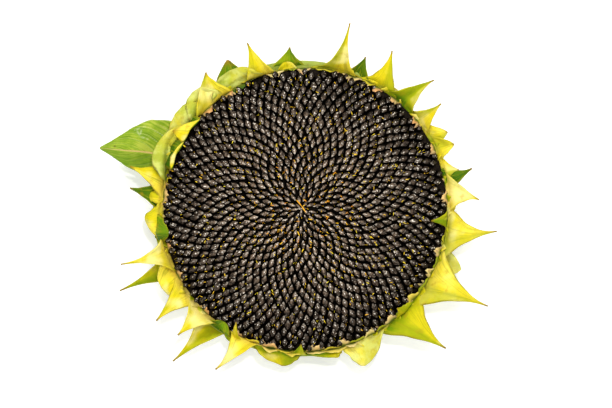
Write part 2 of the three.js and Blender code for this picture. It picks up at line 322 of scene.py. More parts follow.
def either_way(limit):
    return draw.uniform(-limit, limit)


def face_height(radius):
    share = radius / FACE_RADIUS
    return FACE_HEIGHT - DOME_FALL * share**2 - RIM_FALL * share**RIM_POWER


def face_slope(radius):
    share = radius / FACE_RADIUS
    return -(2 * DOME_FALL * share + RIM_POWER * RIM_FALL * share ** (RIM_POWER - 1)) / FACE_RADIUS


def face_frame(radius, angle):
    """Point on the seed face, with its outward, sideways and upward directions."""
    out, side = outward(angle)
    ahead = out + UP * face_slope(radius)
    ahead /= np.linalg.norm(ahead)
    return out * radius + UP * face_height(radius), ahead, side, np.cross(ahead, side)


def catmull(points, share):
    """Point at a share of a smooth curve through the points, evenly counted."""
    points = np.asarray(points, float)
    padded = np.vstack([2 * points[0] - points[1], points, 2 * points[-1] - points[-2]])
    place = min(share, 0.999999) * (len(points) - 1)
    k = int(place)
    t = place - k
    a, b, c, d = padded[k:k + 4]
    chord = [max(1e-9, np.linalg.norm(q - p) ** 0.5) for p, q in ((a, b), (b, c), (c, d))]
    first = ((b - a) / chord[0] - (c - a) / (chord[0] + chord[1]) + (c - b) / chord[1]) * chord[1]
    second = ((c - b) / chord[1] - (d - b) / (chord[1] + chord[2]) + (d - c) / chord[2]) * chord[1]
    return (
        (2 * b - 2 * c + first + second) * t**3
        + (-3 * b + 3 * c - 2 * first - second) * t**2 + first * t + b
    )


def ring_shift(angle):
    """How much further out than a true circle the ring of bracts stands."""
    oval = RING_OVAL * np.cos(2 * (angle - OVAL_TURN))
    return RING_MEAN + RING_SHIFT * np.cos(angle - RING_TURN) + oval


def seed_radius(n):
    return FIELD_RADIUS * ((n + 0.5) / SEED_COUNT) ** SPIRAL_POWER


# Seeds

SEEDS_SHOWN = 1146
SEED_LIMIT = 94
SEED_LEAST = 0.66
SEED_SEGMENTS = 16
POINTED = 1.16
ROUNDED = 1.4
# Rings of a seed from its tip down: share of the full outline, depth below the tip.
SEED_RINGS = [
    (0.1, 0), (0.2, 0.1), (0.4, 0.34), (0.58, 0.66), (0.74, 1.1), (0.87, 1.8), (0.95, 3), (1, 5),
]
SEED_LENGTH = 4.5
SEED_WIDTH = 2.55
# Widths against the mean by radius, and sizes by number from the middle.
SEED_SPREAD = [(0, 0.64), (30, 0.95), (FIELD_RADIUS, 1.12)]
SEED_GROWTH = [(0, 0.86), (500, 1)]
SEED_SIZES = (0.95, 1.05)
SEED_STRAY = 0.22
STRAY_RADIUS = 4
SEED_TURN = 7
SEED_LIFT = (-0.5, 0.4)
SEED_LEAN = 1.2
SEED_LEANS = (0.5, 1.5)
# Foot of a seed: depth below the tip, half length, half width, place in the paint.
SEED_FOOT = (8, 2.6, 1.7, 1.3)
# Stretch of the rim where bracts fold over the last seeds, and the radius that they reach.
FOLD_SECTOR = (138, 163.5)
FOLD_EDGE = 85.4
# Radius from which painted shade darkens the seeds towards the rim, and the least share of that painted
# shade.
SHADE_START = 16
SHADE_LEAST = 0.2


def seed_outline():
    """Unit outline of a seed from above, pointed inwards and rounder outwards."""
    turn = full_circle(SEED_SEGMENTS)
    cos, sin = np.cos(turn), np.sin(turn)
    power = np.where(cos < 0, POINTED, ROUNDED)
    reach = (np.abs(cos) ** power + np.abs(sin) ** power) ** (-1 / power)
    return reach * cos, reach * sin, turn / FULL_TURN


def under_fold(radius, angle):
    low, high = FOLD_SECTOR
    return radius > FOLD_EDGE and low < math.degrees(angle) % 360 < high


def build_seeds(first, last):
    x, y, around = seed_outline()
    foot_depth, foot_length, foot_width, foot_along = SEED_FOOT
    along = [share for share, _ in SEED_RINGS] + [foot_along]
    seeds = Loft()
    for n in range(first, last):
        radius = seed_radius(n) + draw.gauss(0, SEED_STRAY)
        angle = n * GOLDEN + draw.gauss(0, SEED_STRAY) / max(radius, STRAY_RADIUS)
        room = min(1, (SEED_LIMIT + ring_shift(angle) - radius) / SEED_LENGTH)
        if room < SEED_LEAST or under_fold(radius, angle):
            continue
        origin, ahead, side, up = face_frame(radius, angle)
        size = room * np.interp(n, *zip(*SEED_GROWTH)) * between(SEED_SIZES)
        wide = SEED_WIDTH * np.interp(radius, *zip(*SEED_SPREAD))
        turn = math.radians(either_way(SEED_TURN))
        cos, sin = math.cos(turn), math.sin(turn)
        ahead, side = ahead * cos + side * sin, side * cos - ahead * sin
        lift = between(SEED_LIFT)
        lean = SEED_LEAN * between(SEED_LEANS)
        rings = []
        for share, drop in SEED_RINGS:
            scale = share * size
            lengthwise = np.outer(x * SEED_LENGTH * scale - lean * (1 - share), ahead)
            rings.append(origin + up * (lift - drop) + lengthwise + np.outer(y * wide * scale, side))
        foot = origin - up * foot_depth
        rings.append(foot + np.outer(x * foot_length, ahead) + np.outer(y * foot_width, side))
        # Share of painted shade, growing towards the rim.
        rim = np.clip((radius - SHADE_START) / (FIELD_RADIUS - SHADE_START), SHADE_LEAST, 1)
        seeds.add(rings, along=along, around=around[None, :], tone=draw.random(), rim=rim)
    return seeds


def seed_paint():
    paint = Paint("seed_hull", 0.3, 0.14)
    along, around, tone, rim = paint.attributes("along", "around", "tone", "rim")
    streak = paint.noise(1, 3, paint.stretched((around, 16), (along, 3), (tone, 60)), 0.6)
    mottle = paint.noise(620, 2, rough=0.6)
    rust = paint.noise(620, 2)
    paint.start(paint.ramp(
        streak * 0.35 + mottle * 0.85 + (tone - 0.5) * 0.1,
        (0.46, 0.01, 0.006, 0.004), (0.56, 0.09, 0.064, 0.044), (0.65, 0.3, 0.22, 0.15),
        (0.74, 0.95, 0.76, 0.56),
    ))
    paint.cover(rust.fade(0.48, 0.62, 0.6), (0.2, 0.09, 0.038))
    paint.cover(tone.fade(0.9, 0.97, 0.4), (0.16, 0.065, 0.028))
    # A dark outer end, a pale streak down the inner end, and a brown crown.
    off_axis = abs(around - 0.5)
    paint.cover(off_axis.fade(0.15, 0.32) * along.fade(0.15, 0.4, 0.6), (0.012, 0.008, 0.005))
    inner = off_axis.fade(0.03, 0.14, 0, 1) * along.fade(0.15, 0.4, 0.95)
    paint.cover(inner * mottle.fade(0.38, 0.56, 1, 0.3), (0.85, 0.74, 0.6))
    crown = along.fade(0.15, 0.55, 0, 0.4) * mottle.fade(0.4, 0.6, 1, 0.3)
    paint.cover(crown, (0.36, 0.265, 0.185))
    # Painted shade that darkens the seeds towards the rim.
    paint.cover(rim * 0.84, (0.006, 0.005, 0.004))
    # White dot on the tip: partly the pale floret scar, partly a painted highlight.
    scar_and_highlight = along.fade(0.1, 0.15, 0, 1) * tone.fade(0.3, 0.9, 0.8)
    paint.cover(scar_and_highlight, (1, 0.94, 0.84))
    # Pale specks of painted highlight.
    paint.cover(paint.noise(900, 1).fade(0.66, 0.7, 0.9), (0.92, 0.82, 0.68))
    # Painted shade: black walls where the seeds meet.
    paint.cover(along.fade(0.575, 0.735), (0.002, 0.0015, 0.001))
    paint.set("Roughness", mottle.fade(0.35, 0.65, 0.42, 0.16))
    paint.set("Specular IOR Level", along.fade(0.4, 0.8, 0, 0.06))
    paint.bump(streak * 0.6 + mottle, 0.0005, 0.9)
    return paint


hull_paint = seed_paint()
middle_seeds = build_seeds(0, SEEDS_SHOWN // 2).piece("seeds_middle", hull_paint, "seed")
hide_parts("seed_disc")
build_seeds(SEEDS_SHOWN // 2, SEEDS_SHOWN).piece("seeds_outer", hull_paint, "seed")

# Bed that the seeds stand in

BED_SINK = 5.2
BED_SIDES = 96
BED_RADIUS = 90.6
BED_RADII = (0.5, 20, 40, 60, 75, 83, 88, BED_RADIUS)
BED_LEAST_HEIGHT = 30
BED_FOOT = 28.8
# Share of the radius from which the bed follows the ring of bracts, and radius where it ripples.
BED_FOLLOWS = 0.7
RIPPLE_START = 80


def build_bed():
    turn = full_circle(BED_SIDES)
    bed = Loft()
    rings = []
    for radius in BED_RADII:
        reach = radius + ring_shift(turn) * max(0, radius / BED_RADIUS - BED_FOLLOWS) / (1 - BED_FOLLOWS)
        if radius > RIPPLE_START:
            reach = reach + 0.25 * np.sin(21 * turn)
        rings.append(around_axis(reach, turn, max(BED_LEAST_HEIGHT, face_height(radius) - BED_SINK)))
    rings.append(around_axis(BED_RADIUS + ring_shift(turn), turn, BED_FOOT))
    bed.add(rings)
    bed.flip()
    return bed


def bed_paint():
    paint = Paint("seed_bed", 0.9, 0.05)
    grain = paint.noise(700, 4)
    # Painted shade: the bed is near-black, like the shade deep between the seeds.
    paint.start(paint.ramp(grain, (0.3, 0.003, 0.002, 0.002), (0.7, 0.018, 0.013, 0.009)))
    paint.bump(grain, 0.0006, 0.6)
    return paint


build_bed().piece("seed_bed", bed_paint(), "seed")

# Dried florets that lie between and on the seeds

FLORET_COUNT = 2700
# Share of the florets that is left, by radius.
FLORET_SHARE = [(0, 0.5), (10, 1), (24, 0.9), (42, 0.46), (FIELD_RADIUS, 0.37)]
# Ranges of a floret's way out from its seed, steepness, length and height of its foot.
STANDING_FLORET = ((1.8, 3.4), (1.4, 4), (1.6, 2.4), (-1.5, -0.8))
LYING_FLORET = ((-2.2, 2.2), (0, 0.5), (0.6, 2.4), (-0.5, 0.4))
STANDING_SHARE = 0.72
FLORET_RADII = (0.5, 86)
FLORET_SLIP = 0.02
# Florets inside this radius, and a share of the others, point anywhere.
LOOSE_RADIUS = 16
LOOSE_SHARE = 0.4
FLORET_TURN = 0.5
# Hues inside a radius, and outside it.
HUE_RADIUS = 32
INNER_HUES = (0.15, 0.8)
OUTER_HUES = (0, 0.55)
HALF_WIDTHS = (0.2, 0.34)
FLORET_BEND = 0.2
# The longer florets in the middle: start, end, half width, hue.
CENTRE_FLORETS = [
    ((-2.8, 5.4), (0.8, 1), 0.42, 0.62),
    ((0.3, 1.6), (3.4, -2.8), 0.45, 0.55),
    ((4.6, -6.6), (7.6, -7.2), 0.34, 0.4),
    ((-2.2, -14.4), (-0.8, -17.6), 0.36, 0.4),
]
CENTRE_HEIGHT = FACE_HEIGHT + 0.5
CENTRE_BEND = 0.05


def strip(start, direction, up, length, width, bend, steps=4):
    """Rings of a thin tapering strip that bends towards up."""
    side = np.cross(direction, up)
    rings = []
    for share in np.linspace(0, 1, steps + 1):
        half = width * (0.35 + 0.65 * math.sin(math.pi * min(1, share + 0.12)))
        middle = start + direction * (length * share) + up * (bend * length * share**2)
        wide, thick = side * half, up * half / 2
        rings.append([middle + wide, middle + thick, middle - wide, middle - thick])
    return rings


def build_florets():
    florets = Loft()
    for _ in range(FLORET_COUNT):
        n = draw.randrange(SEED_COUNT)
        if draw.random() > np.interp(seed_radius(n), *zip(*FLORET_SHARE)):
            continue
        standing = draw.random() < STANDING_SHARE
        outs, steeps, lengths, feet = STANDING_FLORET if standing else LYING_FLORET
        radius = seed_radius(n) + between(outs)
        angle = n * GOLDEN + either_way(FLORET_SLIP)
        origin, ahead, side, up = face_frame(np.clip(radius, *FLORET_RADII), angle)
        loose = radius < LOOSE_RADIUS or draw.random() < LOOSE_SHARE
        turn = draw.uniform(0, FULL_TURN) if loose else draw.gauss(0, FLORET_TURN)
        direction = ahead * math.cos(turn) + side * math.sin(turn) + up * between(steeps)
        direction /= np.linalg.norm(direction)
        length = between(lengths)
        start = origin + up * between(feet)
        hue = between(INNER_HUES if radius < HUE_RADIUS else OUTER_HUES)
        width = between(HALF_WIDTHS)
        rings = strip(start, direction, up, length, width, either_way(FLORET_BEND))
        florets.add(rings, hue=hue, along=np.linspace(0, 1, len(rings)))
    for start, end, width, hue in CENTRE_FLORETS:
        way = np.append(np.subtract(end, start), 0)
        length = np.linalg.norm(way)
        foot = np.append(start, CENTRE_HEIGHT)
        rings = strip(foot, way / length, UP, length, width, CENTRE_BEND, 8)
        florets.add(rings, hue=hue, along=np.linspace(0, 0.5, len(rings)))
    return florets


def floret_paint():
    paint = Paint("dried_floret", 0.6, 0.3)
    hue, along = paint.attributes("hue", "along")
    grain = paint.noise(1500, 2)
    paint.start(paint.ramp(
        hue,
        (0, 1, 0.82, 0.02), (0.45, 1, 0.55, 0.01), (0.8, 0.85, 0.28, 0.01), (1, 0.45, 0.15, 0.02),
    ))
    paint.cover(along * 0.1, (0.3, 0.15, 0.03))
    paint.cover(grain * 0.15, (0.2, 0.1, 0.03))
    paint.bump(grain, 0.0002, 0.5)
    return paint


build_florets().piece("dried_florets", floret_paint(), "seed")

# Chaff flakes that lean over the last seeds

# Chaff: angle, width.
CHAFF = [
    (134.2, 5), (121.8, 5), (101.1, 7), (88.7, 7), (69, 6), (62, 5), (57.7, 4), (48.9, 4), (37.4, 4),
    (24.4, 3.5), (4.6, 4), (342.5, 4.5), (334, 4), (328.2, 4), (320.9, 4.5), (309.7, 5), (301.4, 5),
    (287.6, 6), (275.3, 7), (255.4, 6), (243.3, 5), (226.3, 5), (208.8, 5), (196.1, 4), (175.2, 4),
]
FLAKES_EACH = 2
CHAFF_SLIP = 1.6
SMALL_CHAFF = 40
# Ranges of width, height and lean; a large flake's width is a share of the width in the list.
LARGE_FLAKE = ((0.6, 1), (7.5, 9.5), (2.6, 4.6))
SMALL_FLAKE = ((2, 3.5), (4, 7), (0.6, 2))
CHAFF_RADIUS = 90.9
CHAFF_FOOT = 29.4
FLAKE_ROWS = 6
FLAKE_DRIFT = 1.2
FLAKE_TEAR = (0.5, 1)
FLAKE_EDGE = 0.1
FLAKE_THICKNESS = 0.2


def flake(chaff, angle, width, height, lean):
    """One thin ragged scale, standing at the rim and leaning inwards."""
    out, side = outward(angle)
    drift = either_way(FLAKE_DRIFT)
    torn = between(FLAKE_TEAR)
    thick = out * FLAKE_THICKNESS
    shares = np.linspace(0, 1, FLAKE_ROWS)
    rings = []
    for share in shares:
        left, right = (width / 2 * (1 - share) ** power + FLAKE_EDGE for power in (torn, 1.5 - torn))
        reach = CHAFF_RADIUS + ring_shift(angle) - lean * share**1.3
        middle = out * reach + side * drift * share + UP * (CHAFF_FOOT + height * share)
        rings.append([middle - side * left, middle - thick, middle + side * right, middle + thick])
    chaff.add(rings, along=shares, tone=draw.random())


def build_chaff():
    chaff = Loft()
    for degrees, full_width in CHAFF:
        for _ in range(FLAKES_EACH):
            angle = math.radians(degrees + either_way(CHAFF_SLIP))
            width, height, lean = map(between, LARGE_FLAKE)
            flake(chaff, angle, full_width * width, height, lean)
    for _ in range(SMALL_CHAFF):
        flake(chaff, draw.uniform(0, FULL_TURN), *map(between, SMALL_FLAKE))
    return chaff


def chaff_paint():
    paint = Paint("rim_chaff", 0.6, 0.3)
    along, tone = paint.attributes("along", "tone")
    grain = paint.noise(1200)
    paint.start(paint.mix(tone, rgb(0.72, 0.44, 0.24), rgb(0.7, 0.6, 0.22)))
    paint.cover(along.fade(0.7, 1, 0.5), (0.36, 0.15, 0.06))
    paint.cover(grain * 0.35, (0.35, 0.24, 0.12))
    paint.bump(grain, 0.0002, 0.5)
    return paint


build_chaff().piece("rim_chaff", chaff_paint(), "seed")

# Ragged lips between the last seeds and the bracts

# Lips: middle angle, span, height, lean, tone; a tone of 1 is a dark green of painted shade, as at 116.5
# degrees.
LIPS = [
    (348, 5, 9, -2, 0.6), (342.5, 5, 10.5, -5, 0.15), (338, 6, 9.5, -2, 0.75), (333.8, 4, 10.5, -5, 0.2),
    (328, 8, 9.5, -2.5, 0.7), (321.5, 7, 10.5, -5, 0.4), (315, 8, 9.5, -4, 0.7), (308.5, 7, 10.5, -4.5, 0.15),
    (304, 6, 9, -2, 0.65), (299, 6, 10, -4, 0.2), (293, 8, 9.5, -2, 0.65), (287.5, 6, 10.5, -5, 0.15),
    (282, 9, 9, -1.5, 0.5), (276, 8, 10, -4.5, 0.1), (264, 10, 9, 1, 0.45), (257, 8, 9.5, -3.5, 0.05),
    (250, 9, 10, -2.5, 0.45), (243, 6, 9, -3.5, 0.1), (226.5, 5, 9.5, -4, 0), (208.5, 6, 9.5, -4, 0.05),
    (196, 5, 9, -3.5, 0), (187, 6, 9, -3, 0.55), (175, 7, 9.5, -4, 0.1), (167, 5, 8.5, -2, 0.5),
    (134, 7, 10, -4.5, 0), (122, 7, 10, -4.5, 0.05), (116.5, 10, 9.5, -4.5, 1), (101, 8, 9.5, -3.5, 0.2),
    (94, 6, 8, -1, 0.7), (89, 6, 9.5, -4.5, 0.1), (80, 8, 8.5, -1.5, 0.5), (69, 8, 9.5, -4.5, 0.15),
    (62, 6, 8.5, -2, 0.5), (57.5, 5, 9.5, -4.5, 0), (49, 5, 9.5, -4, 0.05), (37.5, 4, 9, -4, 0),
    (24.5, 4, 8.5, -3.5, 0.05), (4.6, 5, 9.5, -4, 0.1), (355, 5, 8.5, -3, 0.65),
    (258, 9, 8.5, 2.5, 0.35), (267, 10, 9, 3, 0.42), (276, 8, 8.5, 2, 0.3), (284, 11, 9, 3, 0.38),
    (291, 7, 9, 2, 0.2),
]
LIP_STATIONS = 20
LIP_RADIUS = 91.3
LIP_FOOT = 28.8
# Section of a lip, up its inner face and down its outer one: share of its height, thickness.
LIP_RISE = np.array([0.0, 0.3, 0.6, 0.85, 1.0, 0.85, 0.6, 0.3, 0.0])
LIP_THICKNESS = 0.4 * np.array([-1, -0.9, -0.7, -0.4, 0, 0.4, 0.7, 0.9, 1])
LIP_PEAK = (0.3, 0.7)
LIP_PHASE = (0, 6)
LIP_TAPER = 0.75
LIP_CURL = 1.8


def build_lips():
    lips = Loft()
    for middle, span, tall, lean, tone in LIPS:
        phase = between(LIP_PHASE)
        peak = between(LIP_PEAK)
        rings = []
        for share in np.linspace(0, 1, LIP_STATIONS):
            angle = math.radians(middle + span * (share - 0.5))
            side = share / peak if share < peak else (1 - share) / (1 - peak)
            rise = (0.12 + 0.88 * side**LIP_TAPER) * (1 + 0.1 * math.sin(phase + 21 * share))
            curl = lean * rise * LIP_RISE**LIP_CURL + 0.5 * math.sin(phase + 9 * share) * LIP_RISE
            reach = LIP_RADIUS + ring_shift(angle) + curl + LIP_THICKNESS
            rings.append(around_axis(reach, angle, LIP_FOOT + tall * rise * LIP_RISE))
        lips.add(rings, along=LIP_RISE[None, :], tone=tone)
    return lips


def lip_paint():
    paint = Paint("collar_lip", 0.6, 0.2)
    along, tone = paint.attributes("along", "tone")
    patch = paint.noise(240)
    grain = paint.noise(1200)
    edge = paint.ramp(
        tone,
        (0, 0.82, 0.42, 0.16), (0.2, 0.92, 0.74, 0.3), (0.45, 0.78, 0.62, 0.04),
        (0.7, 0.34, 0.42, 0.012), (1, 0.03, 0.12, 0.006),
    )
    # Painted shade: the lower part of each lip is dark green, as beneath its edge.
    shaded_lower_part = paint.mix(patch, rgb(0.02, 0.08, 0.004), rgb(0.18, 0.22, 0.012))
    paint.start(paint.mix(along.fade(0.4, 0.85), shaded_lower_part, edge))
    paint.cover(grain * 0.3, (0.25, 0.17, 0.03))
    paint.bump(grain, 0.0003, 0.5)
    return paint


build_lips().piece("collar_lips", lip_paint(), "bract")

# Bracts

FRONT_KINDS = (
    "inner", "spike", "upright", "slender", "over", "blunt", "broad", "fan", "lobe", "corner", "droop",
)
STEEP_KINDS = ("inner", "spike", "upright", "slender")
STEEPER = 24
BLUNT_KINDS = ("blunt", "broad", "fan", "lobe", "under", "lens", "back", "scale", "collar")
BLUNT_BROWN = 0.12
PALE_KINDS = {"broad": 1, "lobe": 1, "under": 1, "spike": 0.25, "corner": 0.15}
# Foot of a front bract beside the last seeds: radius, height, widening of the base.
FRONT_FOOT = [(90.6, 28.9, 1.3), (91.3, 29.4, 1.22), (92, 29.9, 1.1)]
FOOT_SHARE = 0.04
BRACT_SEED = 5
# How a blade is bent, against its half width, and how its tip is turned aside.
BRACT_WAVE = (0.04, 0.1)
BRACT_CREASE = 0.35
BRACT_FOLD = (0.22, 0.5)
BRACT_TWIST = 0.5
BRACT_SKEW = 1.4
TIP_THICKNESS = 0.35
# Short scales of the collar, and the stretches of the rim without them.
COLLAR_COUNT = 30
COLLAR_SLIP = 0.3
COLLAR_REACH = (95.2, 97.6)
COLLAR_WIDTH = (15, 21)
COLLAR_GREEN = (0, 0.45)
BARE_RIM = [(79, 94), (248, 292)]
# Rows of scales on the back: kind, number, ranges of reach, width and share of green, sway.
BACK_ROWS = [
    ("back", 38, ((91.5, 95.5), (15, 20), (0.45, 0.95)), 3),
    ("scale", 30, ((79, 86), (13, 18), (0.45, 0.9)), 2),
]
BACK_KINDS = ("back", "scale")
BACK_SLIP = 0.25
BACK_STRAY = 5
BACK_RELIEF = 0.15
# Lower part of a back scale, which narrows to its root and isn't shaded there, and the root's width.
BACK_BASE = 0.24
BACK_ROOT = 0.72


def bract_path(kind, shift, reach, sway, steeper):
    """Radius, height and elevation along a bract, scaled so that it reaches its radius."""
    root, height, start, end, bend, _ = kind
    root += shift
    start += steeper
    steps = np.arange(1, PATH_STEPS + 1) / PATH_STEPS
    slope = np.radians(start + (end + sway - start) * (1 - (1 - steps) ** bend))
    out = np.append(0, np.cumsum(np.cos(slope)))
    up = np.append(0, np.cumsum(np.sin(slope)))
    slope = np.append(math.radians(start), slope)
    sign = 1 if reach > root else -1
    scale = abs(reach - root) / (sign * out).max()
    return root + out * scale, height + up * scale, slope


def bract_stations(kind_name, shift, path):
    """Rows of a bract: share of its length, radius, height, elevation, widening."""
    shares = np.linspace(0, 1, BRACT_ROWS + 1)
    rows = [np.interp(shares * PATH_STEPS, range(PATH_STEPS + 1), part) for part in path]
    stations = list(zip(shares, *rows, np.ones(BRACT_ROWS + 1)))
    if kind_name not in FRONT_KINDS:
        return stations
    feet = len(FRONT_FOOT)
    first_slope = math.radians(KINDS[kind_name][2])
    lead = [
        ((k - feet) * FOOT_SHARE, radius + shift, height, first_slope * (k + 1) / (feet + 1), wider)
        for k, (radius, height, wider) in enumerate(FRONT_FOOT)
    ]
    return lead + stations


def add_bract(bracts, base, width, tip, reach, kind_name, green, sway):
    kind = KINDS[kind_name]
    across, _, thickness = blade_section(BRACT_COLUMNS, BRACT_THICKNESS)
    on_back = kind_name in BACK_KINDS
    relief = BACK_RELIEF if on_back else 1
    shift = 0
    if kind_name in FRONT_KINDS + ("collar",):
        shift = ring_shift(math.radians(base))
    elif on_back:
        shift = either_way(BACK_STRAY)
    steeper = draw.uniform(0, STEEPER) if kind_name in STEEP_KINDS else 0
    path = bract_path(kind, shift, reach, sway, steeper)
    phase = draw.uniform(0, FULL_TURN)
    wave = between(BRACT_WAVE)
    crease = either_way(BRACT_CREASE)
    fold = draw.choice((-1, 1, 1)) * between(BRACT_FOLD)
    twist = either_way(BRACT_TWIST)
    veins = 0.09 * np.cos(across * math.pi * 5) * (np.abs(across) < 0.95)
    stations = bract_stations(kind_name, shift, path)
    rings = []
    for share, radius, height, slope, wider in stations:
        held = max(share, 0)
        half = wider * (BRACT_TIP_WIDTH + (width - BRACT_TIP_WIDTH) * (1 - held) ** kind[-1]) / 2
        if on_back:
            half *= np.interp(held, (0, BACK_BASE), (BACK_ROOT, 1))
        half = half * (1 + 0.03 * np.sin(phase + 19 * share + 3 * across))
        bent = BRACT_CUP * across**2 + fold * (np.abs(across - crease) - 0.5)
        bent = bent + wave * np.sin(phase + 7 * share + 2.2 * across)
        lift = relief * math.sin(math.pi * held) * (bent * half + veins)
        lift = lift + relief * twist * half * across * held**2
        lift = lift + thickness * (TIP_THICKNESS + (1 - TIP_THICKNESS) * (1 - held))
        turn = math.radians(base + (tip - base) * held**BRACT_SKEW) + across * half / radius
        flat = radius - math.sin(slope) * lift
        rings.append(around_axis(flat, turn, height + math.cos(slope) * lift))
    along = np.array([station[0] for station in stations])
    if on_back:
        along = BACK_BASE + (1 - BACK_BASE) * along
    # Painted shade on one side of the crease.
    lee = 0.5 + 0.5 * np.tanh(6 * (across - crease) * np.sign(fold))
    bracts.add(
        rings, along=along, across=across[None, :], green=green, tone=draw.random(),
        brown=BLUNT_BROWN if kind_name in BLUNT_KINDS else 1,
        pale=PALE_KINDS.get(kind_name, 0), lee=lee[None, :],
    )


# Bracts that lean in over the seeds and fold back: base angle, width, angle and radius of the tip, green.
FOLDS = [(144.5, 19, 148.8, 95.4, 0.05), (156.8, 20, 158.6, 89.2, 0)]
# Way up to the crest of a fold, radius and height, and its widths from foot to tip.
FOLD_RISE = [(91.4, 29.2), (89.8, 34.4), (87, 39.4), (86, 41), (86.6, 42)]
FOLD_WIDTHS = [1, 1, 1, 1, 0.95, 0.55, 0.04]
FOLD_TOP = 42.6
FOLD_TIP = 41.2
FOLD_ROWS = 26
# Share of green below the crest, painted shade of the hollow behind the fold, and how far below it that ends.
FOLD_SHADE = 0.9
SHADE_MARGIN = 0.08
# Share of the length from which a fold turns to the angle of its tip.
FOLD_SWERVE = 0.6


def add_fold(bracts, base, width, tip, reach, green):
    across, _, thickness = blade_section(BRACT_COLUMNS, BRACT_THICKNESS)
    crest = FOLD_RISE[-1][0]
    way = FOLD_RISE + [((crest + reach) / 2, FOLD_TOP), (reach, FOLD_TIP)]
    shares = np.linspace(0, 1, FOLD_ROWS + 1)
    points = np.array([catmull(way, share) for share in shares])
    slopes = np.gradient(points, axis=0)
    rings = []
    for share, (radius, height), (out, up) in zip(shares, points, slopes):
        length = math.hypot(out, up)
        half = width / 2 * np.interp(share, np.linspace(0, 1, len(FOLD_WIDTHS)), FOLD_WIDTHS)
        lift = thickness * (1 - share / 2) + 0.06 * half * np.sin(4 * across + 9 * share)
        swerve = max(0, share - FOLD_SWERVE) / (1 - FOLD_SWERVE)
        turn = math.radians(base + (tip - base) * swerve) + across * half / radius
        rings.append(around_axis(radius - up / length * lift, turn, height + out / length * lift))
    crest_share = (len(FOLD_RISE) - 1) / (len(way) - 1)
    shaded = np.where(shares < crest_share - SHADE_MARGIN, FOLD_SHADE, green)
    # Painted shade on one side of the fold.
    lee = 0.5 + 0.5 * np.tanh(5 * across)
    bracts.add(
        rings, along=shares, across=across[None, :], green=shaded, tone=draw.random(),
        brown=1, pale=0, lee=lee[None, :],
    )


def build_bracts():
    draw.seed(BRACT_SEED)
    bracts = Loft()
    for number, bract in enumerate(BRACTS):
        add_bract(bracts, *bract, BRACT_SWAY * math.sin(number * GOLDEN))
    for fold in FOLDS:
        add_fold(bracts, *fold)
    for k in range(COLLAR_COUNT):
        base = 360 * (k + either_way(COLLAR_SLIP)) / COLLAR_COUNT
        if any(low < base < high for low, high in BARE_RIM):
            continue
        reach = between(COLLAR_REACH) + ring_shift(math.radians(base))
        add_bract(bracts, base, between(COLLAR_WIDTH), base, reach, "collar", between(COLLAR_GREEN), 0)
    for kind_name, count, limits, sway in BACK_ROWS:
        for k in range(count):
            base = 360 * (k + either_way(BACK_SLIP)) / count
            reach, width, green = map(between, limits)
            add_bract(bracts, base, width, base, reach, kind_name, green, either_way(sway))
    return bracts


def bract_paint():
    paint = Paint("bract_skin", 0.5, 0.05)
    along, across, green, tone = paint.attributes("along", "across", "green", "tone")
    brown, lee, pale = paint.attributes("brown", "lee", "pale")
    vein = paint.noise(1, 3, paint.stretched((across, 9), (along, 1.2), (tone, 50)), 0.6)
    patch = paint.noise(70)
    fine = paint.noise(1100)
    # Share of green, with painted shade: more at the base, where shade falls beside the seeds, and on one
    # side of the crease.
    share = green + (patch - 0.5) * 0.6
    share = share + along.fade(-0.08, 0.28, 0, 1) * (green * 0.9 + 0.04) + lee * 0.22
    paint.start(paint.ramp(
        share,
        (0, 0.94, 0.78, 0.06), (0.2, 0.76, 0.61, 0.008), (0.45, 0.43, 0.45, 0.004),
        (0.75, 0.13, 0.26, 0.002), (1, 0.03, 0.12, 0.002),
    ))
    paint.cover(vein.fade(0.48, 0.66, 0.62), (0.36, 0.35, 0.006))
    # Bleached patches, a blush at yellow bases, light edges and kinds, brown tips and stains.
    bleach = paint.noise(48, 2).fade(0.5, 0.64, 0.7) * share.fade(0.15, 0.5, 0, 1)
    paint.cover(bleach, (0.96, 0.88, 0.34))
    blush = along.fade(-0.05, 0.34, 0, 0.6) * green.fade(0.04, 0.18, 0, 1)
    paint.cover(blush, (0.88, 0.62, 0.12))
    paint.cover(abs(across).fade(0.8, 1, 0.45), (0.8, 0.66, 0.04))
    paint.cover(pale * paint.noise(130).fade(0.4, 0.62, 0.7, 0.2), (0.68, 0.73, 0.2))
    paint.cover(along.fade(0.82, 1, 0.8) * brown, (0.3, 0.15, 0.015))
    paint.cover(paint.noise(160, 4).fade(0.56, 0.72, 0.45), (0.45, 0.26, 0.015))
    paint.cover(fine * 0.2, (0.2, 0.18, 0.02))
    paint.set("Roughness", patch.fade(0.3, 0.7, 0.6, 0.42))
    paint.bump(vein + fine * 0.4, 0.0006, 0.8)
    return paint


build_bracts().piece("bracts", bract_paint(), "bract")

# Receptacle

RECEPTACLE_SIDES = 264
RECEPTACLE_STEPS = 64
RIM_RADIUS = 94.5
AXIS_RADIUS = 0.4
# Ribs of the back: number, height, and the radii between which they rise and fade.
RIB_COUNT = 24
RIB_HEIGHT = 1
RIB_RADII = (20, 34, 78, 92)
FINE_RIBS = 66
FINE_RIB_HEIGHT = 0.3
FINE_RIB_RADII = (45, 75, 85, 93)
RISE_AND_FADE = (0, 1, 1, 0)


def smooth_profile(profile, steps):
    """More points along a profile, kept to its corners."""
    points = np.array(profile, float)
    length = np.append(0, np.cumsum(np.linalg.norm(np.diff(points, axis=0), axis=1)))
    places = np.unique(np.concatenate([length, np.linspace(0, length[-1], steps)]))
    return np.stack([np.interp(places, length, points[:, k]) for k in (0, 1)], 1)


